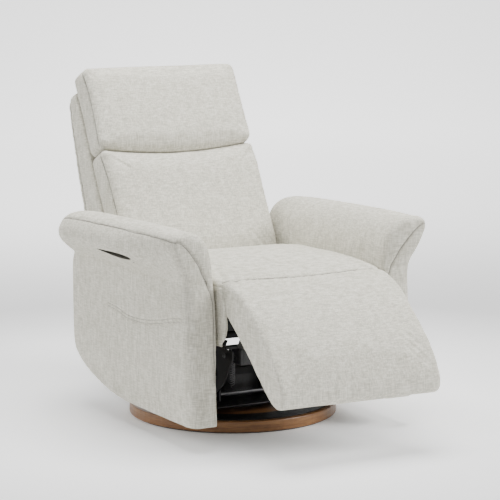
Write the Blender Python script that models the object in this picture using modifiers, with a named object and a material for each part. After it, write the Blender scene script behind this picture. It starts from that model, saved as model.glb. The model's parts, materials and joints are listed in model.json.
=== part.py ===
"""Power glider recliner on a round swivel base, as an assembly of separate solids.

Frame: metres, +Z up, the sitter faces -Y, and the origin is on the floor under the swivel axis.
Left and right are the sitter's, so the right arm is at -X. The pose is the half-open one:
back slightly reclined and footrest part way out.
"""

import math

import bmesh
import bpy
from mathutils import Matrix, Vector

# ---------------------------------------------------------------- driving dimensions
GAP = 0.0003  # between pieces that touch
PIN_R = 0.006  # every pivot pin
BORE_R = PIN_R + GAP

BASE_R = 0.305
BASE_TOP = 0.036
FELT_THICK = 0.004
TRIM_THICK = 0.002

TURNTABLE_TOP = 0.063
LINK_TOP_Z = 0.185  # pivots of the hanging links on the turntable brackets
LINK_LENGTH = 0.100
LINK_Y = 0.130
SIDES = {"right": -1, "left": 1}

SEAT_HALF = 0.257
SEAT_REAR = 0.128
SEAT_TOP = 0.462
RAIL_INNER = 0.240
RAIL_THICK = 0.016
RAIL_TOP = 0.383
TUBE_R = 0.014
TUBE_Z = 0.268
RAIL_BOTTOM = TUBE_Z + TUBE_R + GAP  # the rails and the drives rest on the cross tubes
TUBE_FRONT_Y = -0.165
TUBE_REAR_Y = 0.120

ARM_INNER = 0.280
ARM_OUTER = 0.364
ARM_PAD_INNER = 0.264
ARM_BOTTOM = 0.069
ARM_CREASE = 0.463  # seam between the flat side and the flared top
ARM_FRONT_TOP = -0.395
ARM_FRONT_BOTTOM = -0.435
ARM_REAR = 0.342

FOOT_PIVOT = Vector((0, -0.460, 0.385))
FOOT_ANGLE = math.radians(50)  # the pad's angle from hanging straight down
NOSE_R = 0.068  # the rounded seat front, turned about the footrest's pivot
PAD_TOP = -0.075
PAD_BOTTOM = -0.325
PAD_FRONT = -0.070
FOOT_CRANK = 0.085

BACK_ORIGIN = Vector((0, 0.156, 0.425))  # lower front edge of the back cushion
BACK_ANGLE = math.radians(28)
BACK_HALF = 0.256
BACK_CUSHION_DEPTH = 0.085
RECLINE_Y = 0.096  # pivot in the back's own frame
RECLINE_Z = -0.030
RECLINE_CRANK = 0.055
SHELL_FRONT = 0.107
HEAD_PIVOT_Y = 0.012
HEAD_PIVOT_Z = 0.385
HEAD_TOP = 0.656

CONTROL_Y = -0.075
CONTROL_Z = 0.506
CONTROL_LENGTH = 0.180
CONTROL_HEIGHT = 0.024
CONTROL_FACE_X = -0.4010
CONTROL_DEPTH = 0.025
BUTTONS = ("recline_button", "return_button", "head_up_button", "head_down_button")
BUTTON_PITCH = 0.042

YZ_PLANE = (math.radians(90), 0, math.radians(90))  # turns a flat outline upright, thickness along X


# ---------------------------------------------------------------- scene and materials
def clear_scene():
    for obj in list(bpy.data.objects):
        bpy.data.objects.remove(obj)


def make_collection(name, shown=True):
    found = bpy.data.collections.new(name)
    bpy.context.scene.collection.children.link(found)
    found.hide_render = not shown
    return found


def make_material(name, colour, roughness, metallic=0.0):
    made = bpy.data.materials.new(name)
    made.use_nodes = True
    shader = made.node_tree.nodes["Principled BSDF"]
    shader.inputs["Base Color"].default_value = (*colour, 1)
    shader.inputs["Roughness"].default_value = roughness
    shader.inputs["Metallic"].default_value = metallic
    return made


clear_scene()
CHAIR = make_collection("glider_recliner")
CUTTERS = make_collection("cutters", shown=False)
FABRIC = make_material("woven_fabric", (0.62, 0.60, 0.55), 0.95)
WALNUT = make_material("walnut_veneer", (0.22, 0.10, 0.045), 0.45)
STEEL = make_material("black_steel", (0.015, 0.015, 0.016), 0.45, 0.6)
ZINC = make_material("zinc_steel", (0.45, 0.45, 0.46), 0.35, 0.9)
PLASTIC = make_material("dark_plastic", (0.05, 0.05, 0.05), 0.5)
PLYWOOD = make_material("plywood", (0.55, 0.40, 0.25), 0.7)
FELT = make_material("grey_felt", (0.12, 0.12, 0.12), 0.95)


def pivot_frame(name, location, angle_x):
    """An empty that carries the pieces drawn upright in a tilted frame of their own."""
    empty = bpy.data.objects.new(name, None)
    empty.location = location
    empty.rotation_euler = (angle_x, 0, 0)
    CHAIR.objects.link(empty)
    return empty


BACK = pivot_frame("back_frame_origin", BACK_ORIGIN, -BACK_ANGLE)
FOOT = pivot_frame("footrest_origin", FOOT_PIVOT, -FOOT_ANGLE)


# ---------------------------------------------------------------- shape helpers
def place(obj, name, material, parent=None, collection=CHAIR):
    obj.name = name
    for owner in list(obj.users_collection):
        owner.objects.unlink(obj)
    collection.objects.link(obj)
    obj.data.materials.clear()
    obj.data.materials.append(material)
    obj.parent = parent
    return obj


def bevel(obj, width, segments=2):
    if obj.type == "CURVE":
        weld = obj.modifiers.new("weld", "WELD")
        weld.merge_threshold = 0.0001
    made = obj.modifiers.new("bevel", "BEVEL")
    made.width = width
    made.segments = segments
    made.limit_method = "ANGLE"
    made.angle_limit = math.radians(50)
    return obj


def box(name, low, high, material, parent=None, round_by=0.0, collection=CHAIR):
    """A block between two corners."""
    low, high = Vector(low), Vector(high)
    bpy.ops.mesh.primitive_cube_add(size=1)
    obj = bpy.context.object
    obj.data.transform(Matrix.Diagonal((*(high - low), 1)))
    obj.location = (low + high) / 2
    place(obj, name, material, parent, collection)
    return bevel(obj, round_by) if round_by else obj


def rod(name, start, end, radius, material, parent=None, sides=20, collection=CHAIR):
    """A cylinder between two points."""
    start, end = Vector(start), Vector(end)
    bpy.ops.mesh.primitive_cylinder_add(radius=radius, depth=(end - start).length, vertices=sides)
    obj = bpy.context.object
    obj.data.transform((end - start).to_track_quat("Z", "Y").to_matrix().to_4x4())
    obj.location = (start + end) / 2
    place(obj, name, material, parent, collection)
    obj.data.shade_smooth()
    obj.data.set_sharp_from_angle(angle=math.radians(40))
    return obj


def upright_plate(name, outline, inner, outer, material, parent=None, round_by=0.0, collection=CHAIR):
    """A flat outline of (y, z) points, standing between x = inner and x = outer."""
    curve = bpy.data.curves.new(name, "CURVE")
    curve.dimensions = "2D"
    curve.fill_mode = "BOTH"
    curve.extrude = abs(outer - inner) / 2
    spline = curve.splines.new("POLY")
    spline.points.add(len(outline) - 1)
    for point, (y, z) in zip(spline.points, outline):
        point.co = (y, z, 0, 1)
    spline.use_cyclic_u = True
    obj = bpy.data.objects.new(name, curve)
    obj.rotation_euler = YZ_PLANE
    obj.location = ((inner + outer) / 2, 0, 0)
    place(obj, name, material, parent, collection)
    return bevel(obj, round_by) if round_by else obj


def turned(name, profile, material, steps=64):
    """A solid of revolution about Z from a closed profile of (radius, z), down its outer side."""
    mesh = bpy.data.meshes.new(name)
    count = len(profile)
    edges = [(i, (i + 1) % count) for i in range(count)]
    mesh.from_pydata([(r, 0, z) for r, z in profile], edges, [])
    obj = bpy.data.objects.new(name, mesh)
    place(obj, name, material)
    screw = obj.modifiers.new("turn", "SCREW")
    screw.steps = screw.render_steps = steps
    screw.use_merge_vertices = True
    screw.merge_threshold = 0.00001
    return obj


def tube_loop(name, points, radius, material, parent=None):
    """A closed round tube through the points."""
    curve = bpy.data.curves.new(name, "CURVE")
    curve.dimensions = "3D"
    curve.bevel_depth = radius
    curve.bevel_resolution = 2
    curve.use_fill_caps = True
    spline = curve.splines.new("POLY")
    spline.points.add(len(points) - 1)
    for point, place_at in zip(spline.points, points):
        point.co = (*place_at, 1)
    spline.use_cyclic_u = True
    obj = bpy.data.objects.new(name, curve)
    return place(obj, name, material, parent)


def loft(name, sections, material, round_by=0.0):
    """A skin through closed sections that have the same number of points, capped at both ends."""
    shape = bmesh.new()
    rings = [[shape.verts.new(point) for point in section] for section in sections]
    for ring, following in zip(rings, rings[1:]):
        for i in range(len(ring)):
            j = (i + 1) % len(ring)
            shape.faces.new((ring[i], ring[j], following[j], following[i]))
    shape.faces.new(list(reversed(rings[0])))
    shape.faces.new(rings[-1])
    bmesh.ops.recalc_face_normals(shape, faces=shape.faces)
    mesh = bpy.data.meshes.new(name)
    shape.to_mesh(mesh)
    shape.free()
    obj = bpy.data.objects.new(name, mesh)
    place(obj, name, material)
    return bevel(obj, round_by) if round_by else obj


def as_mesh(obj):
    """The object with its modifiers applied, as a closed mesh that Booleans can use."""
    bpy.context.view_layer.update()
    graph = bpy.context.evaluated_depsgraph_get()
    mesh = bpy.data.meshes.new_from_object(obj.evaluated_get(graph))
    shape = bmesh.new()
    shape.from_mesh(mesh)
    bmesh.ops.remove_doubles(shape, verts=shape.verts, dist=0.00001)
    shape.to_mesh(mesh)
    shape.free()
    name, parent = obj.name, obj.parent
    location, rotation = obj.location.copy(), obj.rotation_euler.copy()
    collection = obj.users_collection[0]
    bpy.data.objects.remove(obj)
    made = bpy.data.objects.new(name, mesh)
    made.location, made.rotation_euler = location, rotation
    made.parent = parent
    collection.objects.link(made)
    return made


def combine(obj, other, operation):
    """Joins the other shape to obj, or cuts it out. The other becomes a hidden helper."""
    other = as_mesh(other)
    for owner in list(other.users_collection):
        owner.objects.unlink(other)
    CUTTERS.objects.link(other)
    other.hide_render = True
    other.display_type = "WIRE"
    other.name = f"{obj.name}_{operation.lower()}"
    made = obj.modifiers.new(operation.lower(), "BOOLEAN")
    made.operation = operation
    made.object = other
    return obj


def cut(obj, other):
    return combine(obj, other, "DIFFERENCE")


def join(obj, other):
    return combine(obj, other, "UNION")


def cross_bore(obj, y, z, inner, outer, parent=None):
    """A pivot bore along X through a plate between x = inner and x = outer."""
    low, high = sorted((inner, outer))
    cutter = rod("bore", (low - 0.01, y, z), (high + 0.01, y, z), BORE_R, STEEL, parent, 16, CUTTERS)
    return cut(obj, cutter)


def arc(centre, radius, start, end, steps):
    """Points on a circle in (y, z), from the start angle to the end angle in degrees."""
    angles = [math.radians(start + (end - start) * i / steps) for i in range(steps + 1)]
    return [(centre[0] + radius * math.cos(a), centre[1] + radius * math.sin(a)) for a in angles]


def bent_sheet(path, thickness):
    """The outline of a sheet of this thickness, bent along a path of (y, z) points."""
    points = [Vector(p) for p in path]
    sides = ([], [])
    for i, point in enumerate(points):
        along = points[min(i + 1, len(points) - 1)] - points[max(i - 1, 0)]
        across = Vector((-along.y, along.x)).normalized() * thickness / 2
        sides[0].append(tuple(point + across))
        sides[1].append(tuple(point - across))
    return sides[0] + sides[1][::-1]


def mirrored_span(side, inner, outer):
    """The x limits of a plate on one side, from its distances to the middle."""
    sign = SIDES[side]
    return sign * inner, sign * outer


# ---------------------------------------------------------------- base
def build_base():
    rod("floor_felt", (0, 0, 0), (0, 0, FELT_THICK), BASE_R - 0.010, FELT, sides=48)
    disc = rod("base_disc", (0, 0, FELT_THICK + GAP), (0, 0, BASE_TOP), BASE_R, WALNUT, sides=72)
    bevel(disc, 0.003)
    low, high = BASE_TOP + GAP, BASE_TOP + GAP + TRIM_THICK
    turned("base_trim_plate", [(0.290, high), (0.290, low), (0.215, low), (0.215, high)], STEEL)
    race_top = BASE_TOP + 0.010
    lower = [(0.115, race_top - 0.004), (0.115, BASE_TOP + GAP), (0.060, BASE_TOP + GAP)]
    turned("bearing_lower", lower + [(0.060, race_top), (0.100, race_top)], ZINC, 40)


# ---------------------------------------------------------------- turntable and glider links
def build_turntable():
    plate_low = TURNTABLE_TOP - 0.005
    race_low = BASE_TOP + 0.010 + GAP
    upper = [(0.108, plate_low - GAP), (0.108, race_low + 0.003), (0.098, race_low)]
    turned("bearing_upper", upper + [(0.062, race_low), (0.062, plate_low - GAP)], ZINC, 40)
    box("turntable_plate", (-0.176, -0.190, plate_low), (0.176, 0.190, TURNTABLE_TOP), STEEL, round_by=0.002)
    foot = TURNTABLE_TOP + GAP
    hub = [(0.052, 0.150), (0.070, 0.143), (0.078, 0.125), (0.082, foot), (0.060, foot), (0.060, 0.138), (0.050, 0.140)]
    turned("hub_cover", hub, PLASTIC, 40)
    for side in SIDES:
        build_link_bracket(side)


def build_link_bracket(side):
    """An upright that carries the two upper pivots of one side, with a foot flange and welded studs."""
    foot = TURNTABLE_TOP + GAP
    head = LINK_TOP_Z + 0.018
    outline = [(-0.178, foot), (0.178, foot), (0.152, head), (-0.152, head)]
    inner, outer = mirrored_span(side, 0.150, 0.154)
    bracket = as_mesh(upright_plate(f"glider_bracket_{side}", outline, inner, outer, STEEL))
    reach = sorted((SIDES[side] * 0.152, SIDES[side] * 0.172))
    join(bracket, box("flange", (reach[0], -0.170, foot), (reach[1], 0.170, foot + 0.004), STEEL))
    for y in (-0.055, 0.055):
        hole = rod("hole", (inner - 0.02, y, 0.125), (inner + 0.02, y, 0.125), 0.030, STEEL, None, 20, CUTTERS)
        cut(bracket, hole)
    for y in (-LINK_Y, LINK_Y):
        start, end = mirrored_span(side, 0.134, 0.158)
        join(bracket, rod("stud", (start, y, LINK_TOP_Z), (end, y, LINK_TOP_Z), PIN_R, ZINC))


def build_links(which, y):
    """Two hanging links and the shaft across their lower ends."""
    low_z = LINK_TOP_Z - LINK_LENGTH
    half_width = 0.013
    outline = arc((y, LINK_TOP_Z), half_width, 0, 180, 6) + arc((y, low_z), half_width, 180, 360, 6)
    for side in SIDES:
        inner, outer = mirrored_span(side, 0.137, 0.142)
        link = as_mesh(upright_plate(f"link_{which}_{side}", outline, inner, outer, STEEL))
        cross_bore(link, y, LINK_TOP_Z, inner, outer)
        cross_bore(link, y, low_z, inner, outer)
    rod(f"glide_shaft_{which}", (-0.146, y, low_z), (0.146, y, low_z), PIN_R, ZINC)


# ---------------------------------------------------------------- chair frame
def build_cradle():
    """Two side plates that hang on the glide shafts and carry the cross tubes of the chair."""
    low_z = LINK_TOP_Z - LINK_LENGTH
    top = TUBE_Z - TUBE_R - 2 * GAP
    rear_top = TUBE_REAR_Y + 0.025
    outline = [(-0.148, low_z - 0.016), (0.148, low_z - 0.016), (0.148, low_z + 0.016)]
    outline += [(0.112, 0.150), (rear_top, top), (TUBE_FRONT_Y - 0.025, top)]
    outline += [(-0.120, 0.150), (-0.148, low_z + 0.016)]
    for side in SIDES:
        inner, outer = mirrored_span(side, 0.120, 0.125)
        plate = as_mesh(upright_plate(f"cradle_plate_{side}", outline, inner, outer, STEEL))
        for y in (-LINK_Y, LINK_Y):
            cross_bore(plate, y, low_z, inner, outer)
    for name, y in (("cross_tube_front", TUBE_FRONT_Y), ("cross_tube_rear", TUBE_REAR_Y)):
        reach = ARM_INNER - GAP
        rod(name, (-reach, y, TUBE_Z), (reach, y, TUBE_Z), TUBE_R, STEEL)


def build_mechanism_plates():
    """The wide side plates of the mechanism, hung under the cross tubes and pierced to save weight."""
    top = TUBE_Z - TUBE_R - GAP
    outline = [(-0.345, top), (-0.345, 0.232), (-0.290, 0.150), (-0.215, 0.098), (-0.100, 0.086)]
    outline += [(0.085, 0.092), (0.105, 0.150), (0.060, 0.205), (0.138, 0.225), (0.138, top)]
    windows = ((-0.110, 0.200, 0.026), (-0.030, 0.215, 0.020), (-0.235, 0.180, 0.024), (-0.155, 0.135, 0.018),
               (0.020, 0.135, 0.022), (-0.060, 0.140, 0.022))
    for side in SIDES:
        inner, outer = mirrored_span(side, 0.186, 0.190)
        plate = as_mesh(upright_plate(f"mechanism_plate_{side}", outline, inner, outer, STEEL))
        low, high = sorted((inner, outer))
        for y, z, radius in windows:
            cut(plate, rod("window", (low - 0.01, y, z), (high + 0.01, y, z), radius, STEEL, None, 16, CUTTERS))


def build_rails():
    """The padded side rails of the seat, rounded at their lower front corner."""
    corner = arc((-0.390, RAIL_BOTTOM + 0.050), 0.050, 270, 180, 5)
    outline = [(0.134, RAIL_TOP), (0.134, RAIL_BOTTOM)] + corner + [(-0.440, RAIL_TOP)]
    for side in SIDES:
        inner, outer = mirrored_span(side, RAIL_INNER, RAIL_INNER + RAIL_THICK)
        upright_plate(f"seat_rail_{side}", outline, inner, outer, FABRIC)


def build_webbing():
    """Elastic straps across the rails and along the seat, woven into one mat."""
    low, high = RAIL_TOP + GAP, RAIL_TOP + GAP + 0.002
    front, rear, half = -0.365, 0.115, 0.252
    strap = 0.050
    mat = as_mesh(box("seat_webbing", (-half, rear - strap, low), (half, rear, high), FELT))
    for i in range(3):
        y = front + i * (rear - front) / 3.6
        join(mat, box("strap_across", (-half, y, low), (half, y + strap, high), FELT))
    for x in (-0.180, -0.060, 0.060, 0.180):
        ends = (x - strap / 2, front, low + 0.0003), (x + strap / 2, rear, high - 0.0003)
        join(mat, box("strap_along", *ends, FELT))


def build_seat():
    y, z = FOOT_PIVOT.y, FOOT_PIVOT.z
    nose_rear = -0.3865
    outline = arc((y, z), NOSE_R, 90, 310, 16) + [(nose_rear, z - 0.032), (nose_rear, z + NOSE_R)]
    upright_plate("seat_nose", outline, -0.222, 0.222, FABRIC)
    low = (-SEAT_HALF, nose_rear + 0.002, RAIL_TOP + 0.003)
    box("seat_cushion", low, (SEAT_HALF, SEAT_REAR, SEAT_TOP), FABRIC, round_by=0.018)


# ---------------------------------------------------------------- arms
def arm_side_outline():
    """The side of the arm in (y, z): upright ends and a bottom that sweeps up to the rear."""
    sweep = [(0.011, ARM_BOTTOM), (0.077, 0.078), (0.145, 0.093), (0.214, 0.112), (0.284, 0.138)]
    heel = [(0.319, 0.162), (0.336, 0.190), (ARM_REAR, 0.225)]
    front = [(ARM_FRONT_TOP, ARM_CREASE - GAP), (ARM_FRONT_BOTTOM, ARM_BOTTOM)]
    return front + sweep + heel + [(ARM_REAR, ARM_CREASE - GAP)]


# Arm top sections in (x, z) from the outer crease over the tip and the crest to the inner side.
TOP_FULL = [
    (0.364, 0.463), (0.400, 0.490), (0.424, 0.520), (0.430, 0.545), (0.414, 0.580), (0.395, 0.597),
    (0.362, 0.603), (0.325, 0.594), (0.295, 0.568), (0.275, 0.525), (0.266, 0.490), (0.264, 0.463),
]
TOP_FRONT = [
    (0.360, 0.463), (0.373, 0.487), (0.387, 0.515), (0.397, 0.547), (0.405, 0.583), (0.396, 0.578),
    (0.374, 0.560), (0.350, 0.541), (0.329, 0.515), (0.315, 0.492), (0.305, 0.475), (0.298, 0.463),
]
TOP_CENTRE = Vector((0.345, 0.520))


def arm_top_sections(sign):
    """Full sections along the arm, shrunk at the rear end and thinned to the lip at the front."""
    drop_start, drop_length = -0.290, 0.105
    sections = []
    for y, rear_scale in ((0.335, 0.80), (0.322, 0.93), (0.300, 1.0), (0.020, 1.0), (-0.170, 1.0)):
        ring = [TOP_CENTRE + (Vector(p) - TOP_CENTRE) * rear_scale for p in TOP_FULL]
        sections.append([(sign * p.x, y, max(p.y, ARM_CREASE)) for p in ring])
    for y in (-0.290, -0.340, -0.370, -0.388, ARM_FRONT_TOP):
        share = (drop_start - y) / drop_length
        blend = 1 - math.sqrt(max(0.0, 1 - share * share))
        ring = [Vector(a).lerp(Vector(b), blend) for a, b in zip(TOP_FULL, TOP_FRONT)]
        sections.append([(sign * p.x, y, max(p.y, ARM_CREASE)) for p in ring])
    return sections


def build_arm(side):
    inner, outer = mirrored_span(side, ARM_INNER, ARM_OUTER)
    upright_plate(f"arm_side_{side}", arm_side_outline(), inner, outer, FABRIC, round_by=0.014)
    low = (SIDES[side] * ARM_PAD_INNER, -0.375, 0.300)
    high = (SIDES[side] * (ARM_INNER - GAP), 0.325, ARM_CREASE - GAP)
    low, high = [tuple(f(a, b) for a, b in zip(low, high)) for f in (min, max)]
    box(f"arm_pad_{side}", low, high, FABRIC, round_by=0.005)
    loft(f"arm_top_{side}", arm_top_sections(SIDES[side]), FABRIC)


def build_controls():
    """The hand slot under the right arm's lip: a tray let into the arm top, with buttons in it."""
    half_length, half_height = CONTROL_LENGTH / 2, CONTROL_HEIGHT / 2
    back_x = CONTROL_FACE_X + CONTROL_DEPTH
    low = (CONTROL_FACE_X, CONTROL_Y - half_length, CONTROL_Z - half_height)
    high = (back_x, CONTROL_Y + half_length, CONTROL_Z + half_height)
    wall = 0.002
    pocket_low = (CONTROL_FACE_X - 0.050, low[1] - GAP, low[2] - GAP)
    pocket_high = (back_x + GAP, high[1] + GAP, high[2] + GAP)
    arm_top = bpy.data.objects["arm_top_right"]
    cut(arm_top, box("pocket", pocket_low, pocket_high, FABRIC, collection=CUTTERS))
    tray = box("control_housing", low, high, PLASTIC)
    inner_low = (CONTROL_FACE_X - 0.010, low[1] + wall, low[2] + wall)
    inner_high = (back_x - wall, high[1] - wall, high[2] - wall)
    cut(tray, box("recess", inner_low, inner_high, PLASTIC, collection=CUTTERS))
    face_x = back_x - wall - 0.0095
    for i, name in enumerate(BUTTONS):
        y = CONTROL_Y + (1.5 - i) * BUTTON_PITCH
        button_low = (face_x, y - 0.015, CONTROL_Z - 0.007)
        box(name, button_low, (face_x + 0.007, y + 0.015, CONTROL_Z + 0.007), PLASTIC, round_by=0.001)


def build_side_pocket():
    """The flat storage pocket on the outside of the right arm, with a hem that dips in the middle."""
    hem = [(-0.350, 0.360), (-0.230, 0.342), (-0.130, 0.328), (-0.050, 0.324), (0.030, 0.333), (0.095, 0.343)]
    outline = hem + [(0.095, 0.150), (-0.350, 0.120)]
    outer = -ARM_OUTER - GAP
    upright_plate("side_pocket", outline, outer - 0.003, outer, FABRIC)


# ---------------------------------------------------------------- recline pivot and drives
def recline_pivot():
    """The recline axis in (y, z)."""
    turn = Matrix.Rotation(-BACK_ANGLE, 4, "X")
    point = BACK_ORIGIN + turn @ Vector((0, RECLINE_Y, RECLINE_Z))
    return point.y, point.z


def build_recline_plates():
    y, z = recline_pivot()
    end = arc((y, z), 0.010, 90, -90, 6)
    outline = [(0.030, 0.340), (0.030, 0.297), (0.100, 0.297)] + end[::-1] + [(0.140, 0.356)]
    for side in SIDES:
        inner, outer = mirrored_span(side, 0.2342, 0.2395)
        plate = as_mesh(upright_plate(f"recline_plate_{side}", outline, inner, outer, STEEL))
        cross_bore(plate, y, z, inner, outer)
        start, end_x = mirrored_span(side, 0.221, 0.246)
        rod(f"recline_pin_{side}", (start, y, z), (end_x, y, z), PIN_R, ZINC)


def build_footrest_hinges():
    """Plates on the rails' inner faces whose studs carry the footrest brackets."""
    y, z = FOOT_PIVOT.y, FOOT_PIVOT.z
    outline = arc((y, z), 0.013, 90, 270, 8) + [(-0.330, 0.330), (-0.330, 0.375)]
    for side in SIDES:
        inner, outer = mirrored_span(side, 0.2355, 0.2395)
        plate = as_mesh(upright_plate(f"footrest_hinge_{side}", outline, inner, outer, STEEL))
        start, end_x = mirrored_span(side, 0.2255, 0.2375)
        join(plate, rod("stud", (start, y, z), (end_x, y, z), PIN_R, ZINC))


def build_drive(name, x, z, motor_y, tube_y, bore_y, rod_y):
    """A linear drive along Y: a gear motor, a guide tube with a saddle, and the push rod in its bore."""
    motor_low, motor_high = (x - 0.032, motor_y[0], RAIL_BOTTOM), (x + 0.032, motor_y[1], 0.350)
    motor = as_mesh(box(f"{name}_motor", motor_low, motor_high, PLASTIC, round_by=0.006))
    join(motor, rod("tube", (x, tube_y[0], z), (x, tube_y[1], z), 0.013, STEEL))
    cut(motor, rod("bore", (x, bore_y[0], z), (x, bore_y[1], z), 0.0074, STEEL, None, 20, CUTTERS))
    rod(f"{name}_rod", (x, rod_y[0], z), (x, rod_y[1], z), 0.007, ZINC)
    return motor


def build_drives():
    crank_z = FOOT_PIVOT.z - FOOT_CRANK
    front = FOOT_PIVOT.y + 0.012
    spans = (-0.230, -0.135), (-0.345, -0.200), (-0.360, -0.150)
    build_drive("footrest", -0.018, crank_z, *spans, (front, front + 0.203))
    y, z = recline_pivot()
    x = 0.030
    spans = (-0.110, -0.010), (-0.040, 0.135), (-0.085, 0.145)
    motor = build_drive("recline", x, z - RECLINE_CRANK, *spans, (-0.020, y + 0.006))
    saddle_low = (x - 0.013, TUBE_REAR_Y - 0.010, RAIL_BOTTOM)
    saddle_high = (x + 0.013, TUBE_REAR_Y + 0.010, z - RECLINE_CRANK - 0.009)
    join(motor, box("saddle", saddle_low, saddle_high, STEEL))


def build_power_inlet():
    """The low-voltage socket on the rear tube, open to the rear."""
    y = TUBE_REAR_Y + TUBE_R + GAP
    socket = box("power_inlet", (0.100, y, 0.256), (0.130, y + 0.018, 0.278), PLASTIC)
    cut(socket, box("socket", (0.105, y + 0.006, 0.260), (0.125, y + 0.040, 0.274), PLASTIC, collection=CUTTERS))


# ---------------------------------------------------------------- footrest, in its own hanging frame
def build_footrest():
    half = 0.248
    box("footrest_pad", (-half, PAD_FRONT, PAD_BOTTOM), (half, -GAP, PAD_TOP), FABRIC, FOOT, 0.018)
    box("footrest_board", (-0.236, 0, -0.315), (0.236, 0.012, -0.080), PLYWOOD, FOOT)
    turn = Matrix.Rotation(FOOT_ANGLE, 3, "X")
    crank = turn @ Vector((0, 0, -FOOT_CRANK))
    outline = arc((0, 0), 0.015, 150, -20, 8) + [(0.040, -0.050), (crank.y + 0.014, crank.z)]
    outline += [(crank.y + 0.002, crank.z - 0.016), (0.035, -0.110), (0.028, -0.290), (0.0125, -0.290)]
    outline += [(0.0125, -0.070)]
    for side in SIDES:
        inner, outer = mirrored_span(side, 0.228, 0.234)
        bracket = as_mesh(upright_plate(f"footrest_bracket_{side}", outline, inner, outer, STEEL, FOOT))
        cross_bore(bracket, 0, 0, inner, outer, FOOT)
    reach = 0.228 - GAP
    rod("footrest_cross_tube", (-reach, crank.y, crank.z), (reach, crank.y, crank.z), 0.008, STEEL, FOOT)


# ---------------------------------------------------------------- back, in its own upright frame
def rounded_loop(half_width, low, high, radius, y, steps=4):
    """A closed loop in the plane y, with its four corners rounded."""
    corners = [(half_width - radius, high - radius, 0), (radius - half_width, high - radius, 90)]
    corners += [(radius - half_width, low + radius, 180), (half_width - radius, low + radius, 270)]
    points = []
    for x, z, start in corners:
        for i in range(steps + 1):
            angle = math.radians(start + 90 * i / steps)
            points.append((x + radius * math.cos(angle), y, z + radius * math.sin(angle)))
    return points


def build_back_frame():
    """A tube loop whose lower bar lies on the recline axis, with two pivot lugs and a crank."""
    half = 0.222
    loop = rounded_loop(half, RECLINE_Z, 0.350, 0.040, RECLINE_Y)
    frame = as_mesh(tube_loop("back_frame", loop, 0.008, STEEL, BACK))
    for side in SIDES:
        inner, outer = mirrored_span(side, 0.2180, 0.2338)
        outline = arc((RECLINE_Y, RECLINE_Z), 0.010, 180, 360, 8)
        outline += [(RECLINE_Y + 0.006, 0.050), (RECLINE_Y - 0.006, 0.050)]
        join(frame, upright_plate("lug", outline, inner, outer, STEEL, BACK))
        start, end = mirrored_span(side, 0.216, 0.246)
        ends = (start, RECLINE_Y, RECLINE_Z), (end, RECLINE_Y, RECLINE_Z)
        cut(frame, rod("bore", *ends, BORE_R, STEEL, BACK, 16, CUTTERS))
    turn = Matrix.Rotation(BACK_ANGLE, 3, "X")
    tip = Vector((0, RECLINE_Y, RECLINE_Z)) + turn @ Vector((0, 0, -RECLINE_CRANK))
    across = turn @ Vector((0, 0.009, 0))
    outline = [(RECLINE_Y + across.y, RECLINE_Z + across.z), (tip.y + across.y, tip.z + across.z)]
    outline += [(tip.y - across.y, tip.z - across.z), (RECLINE_Y - across.y, RECLINE_Z - across.z)]
    join(frame, upright_plate("crank", outline, 0.0385, 0.0445, STEEL, BACK))


def build_back():
    build_back_frame()
    low = (-BACK_HALF, 0, -0.020)
    box("back_cushion", low, (BACK_HALF, BACK_CUSHION_DEPTH, HEAD_PIVOT_Z - 0.012), FABRIC, BACK, 0.018)
    outline = [(SHELL_FRONT, 0.613), (SHELL_FRONT, 0.015), (0.160, -0.060), (0.232, -0.050)]
    outline += [(0.206, 0.280), (0.171, 0.547), (0.158, 0.600), (0.145, 0.613)]
    upright_plate("back_shell", outline, -BACK_HALF - 0.002, BACK_HALF + 0.002, FABRIC, BACK, 0.012)
    leaf_low, leaf_rear = HEAD_PIVOT_Z - 0.009, SHELL_FRONT - GAP
    plate = (-0.048, 0.010, leaf_low), (0.048, leaf_rear, leaf_low + 0.006)
    leaf = as_mesh(box("headrest_hinge", *plate, STEEL, BACK))
    ends = (-0.048, HEAD_PIVOT_Y, HEAD_PIVOT_Z), (0.048, HEAD_PIVOT_Y, HEAD_PIVOT_Z)
    join(leaf, rod("barrel", *ends, 0.006, STEEL, BACK, 16))


def build_headrest():
    """The headrest cushion and its bent bracket, whose barrels turn on the front edge of the gap."""
    bottom_front, bottom_rear = HEAD_PIVOT_Z + 0.012, HEAD_PIVOT_Z + 0.030
    outline = [(0, bottom_front), (0, HEAD_TOP), (0.098, HEAD_TOP), (0.098, bottom_rear)]
    half = BACK_HALF + 0.002
    upright_plate("headrest_cushion", outline, -half, half, FABRIC, BACK, 0.016)
    path = [(HEAD_PIVOT_Y, HEAD_PIVOT_Z + 0.003), (0.098, HEAD_PIVOT_Z + 0.0215), (0.1025, HEAD_PIVOT_Z + 0.040)]
    path += [(0.1025, 0.620)]
    sheet = upright_plate("headrest_bracket", bent_sheet(path, 0.003), -0.090, 0.090, STEEL, BACK)
    bracket = as_mesh(sheet)
    for side in SIDES:
        start, end = mirrored_span(side, 0.050, 0.090)
        ends = (start, HEAD_PIVOT_Y, HEAD_PIVOT_Z), (end, HEAD_PIVOT_Y, HEAD_PIVOT_Z)
        join(bracket, rod("barrel", *ends, 0.006, STEEL, BACK, 16))
    notch = (-0.050, -0.010, HEAD_PIVOT_Z - 0.010), (0.050, 0.022, HEAD_PIVOT_Z + 0.012)
    cut(bracket, box("notch", *notch, STEEL, BACK, collection=CUTTERS))


# ---------------------------------------------------------------- the whole chair
build_base()
build_turntable()
build_links("front", -LINK_Y)
build_links("rear", LINK_Y)
build_cradle()
build_mechanism_plates()
build_rails()
build_webbing()
build_seat()
for arm_name in SIDES:
    build_arm(arm_name)
build_controls()
build_side_pocket()
build_recline_plates()
build_footrest_hinges()
build_drives()
build_power_inlet()
build_footrest()
build_back()
build_headrest()
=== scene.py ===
"""The looks of the power glider recliner: upholstery, seams, mechanism details, materials and studio.

Everything is in metres in the frame of the CAD model: +Z up, the sitter faces -Y, right arm at -X.
"""

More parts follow.
